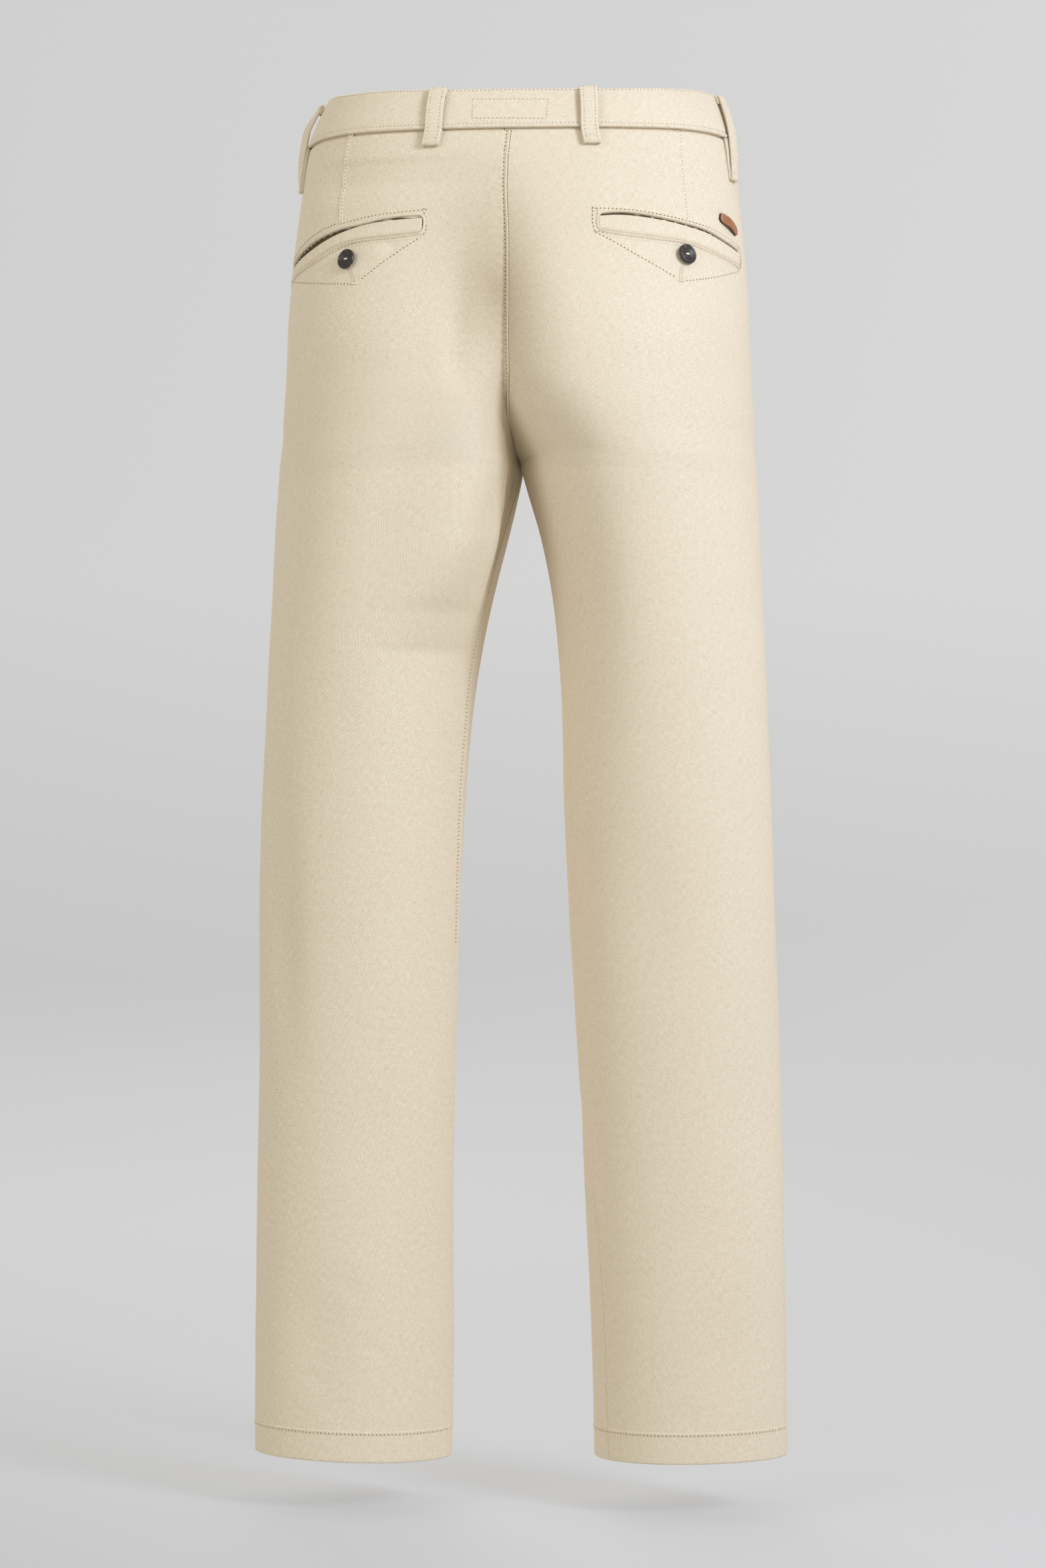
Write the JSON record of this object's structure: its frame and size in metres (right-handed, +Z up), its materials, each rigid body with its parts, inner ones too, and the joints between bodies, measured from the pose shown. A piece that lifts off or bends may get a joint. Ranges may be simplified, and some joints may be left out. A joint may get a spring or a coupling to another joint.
{
  "type": "chino trousers",
  "caption": "Straight-leg twill chino trousers, filled out and hollow, with slant hand pockets, buttoned back welt pockets and belt loops.",
  "frame": {"origin": "middle of the waist opening, level with the waistband's rim at the left side", "axes": "+Z up along the trousers' length, front faces -Y, the wearer's left is +X"},
  "size_m": [0.4061, 0.29, 1.0371],
  "materials": {
    "twill": "matte beige stretch twill",
    "horn": "polished dark horn with tan mottling",
    "leather": "tan leather, bare"
  },
  "bodies": {
    "root": {"back_left": "twill", "back_right": "twill", "front_left": "twill", "front_right": "twill", "pocket_side_left": "twill", "pocket_side_right": "twill", "fly_shield": "twill", "waistband": "twill", "loop_back_left": "twill", "loop_back_right": "twill", "loop_side_left": "twill", "loop_side_right": "twill", "loop_front_left": "twill", "loop_front_right": "twill", "welt_left": "twill", "welt_right": "twill", "button_back_left": "horn", "button_back_right": "horn", "button_waist": "horn", "tab": "leather"}
  },
  "joints": []
}
